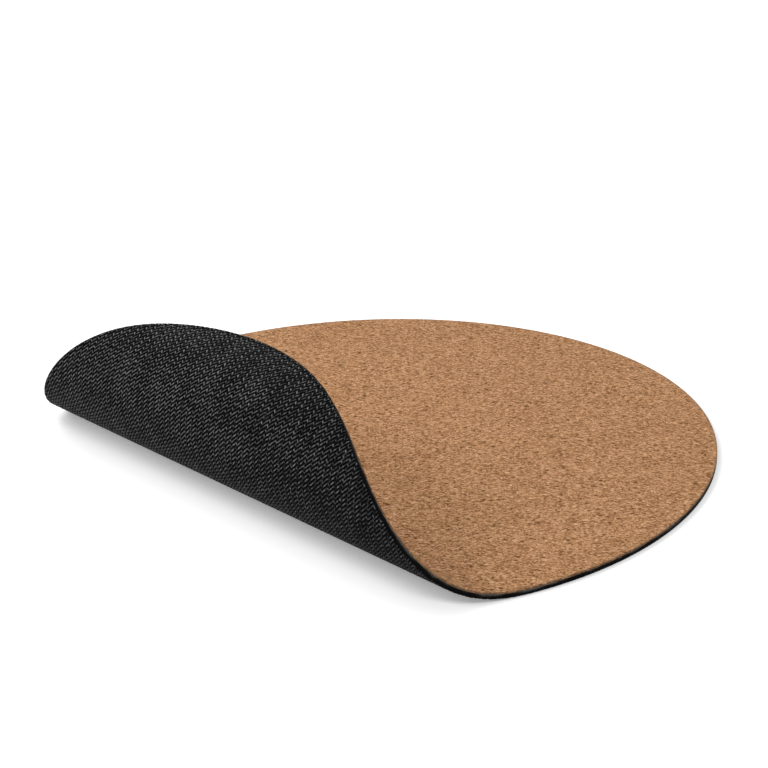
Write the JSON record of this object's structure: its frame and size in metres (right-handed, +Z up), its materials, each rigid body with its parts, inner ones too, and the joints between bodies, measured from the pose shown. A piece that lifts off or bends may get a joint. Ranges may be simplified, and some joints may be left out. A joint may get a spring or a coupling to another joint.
{
  "type": "mouse pad",
  "caption": "Thin oval mouse pad with a cork face on a black textured rubber base, lying flat with one end rolled up and over to show its underside.",
  "frame": {"origin": "on the desk, under the middle of the oval", "axes": "+Z up from the desk through the cork face, +Y along the straight lines of the roll, -X towards the rolled end"},
  "size_m": [0.179, 0.2036, 0.0474],
  "materials": {
    "rubber": "matte",
    "glue": "satin",
    "cork": "matte"
  },
  "bodies": {
    "root": {"rubber_base": "rubber", "glue_film": "glue", "cork_sheet": "cork"}
  },
  "joints": []
}
